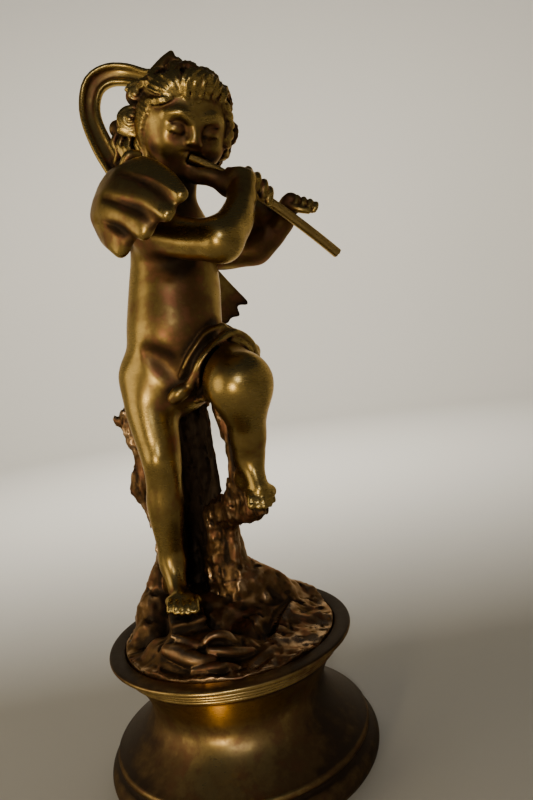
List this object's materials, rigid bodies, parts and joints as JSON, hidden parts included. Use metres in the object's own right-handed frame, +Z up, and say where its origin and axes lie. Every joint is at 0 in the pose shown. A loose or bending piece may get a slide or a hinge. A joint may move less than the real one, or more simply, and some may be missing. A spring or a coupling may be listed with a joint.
{
  "type": "brass flute player figurine",
  "caption": "Cast brass figurine of a winged child playing a flute, one foot raised on a tree stump, standing on a turned round pedestal; a shelf ornament that stands by its own weight",
  "frame": {"origin": "centre of the pedestal's flat underside", "axes": "+Z up, along the pedestal's turning axis; the front of the figurine faces -Y; the figure's right hand side is towards -X"},
  "size_m": [0.0903, 0.0848, 0.2129],
  "materials": {
    "pedestal": "polished brass gone dark brown at the sides and in the grooves",
    "cherub": "worn golden brass on the raised forms, red-brown and dark patina in the hollows, hair, bark and ground",
    "flute": "dull drawn brass rod"
  },
  "bodies": {
    "root": {"pedestal": "pedestal", "cherub": "cherub", "flute": "flute"}
  },
  "joints": []
}
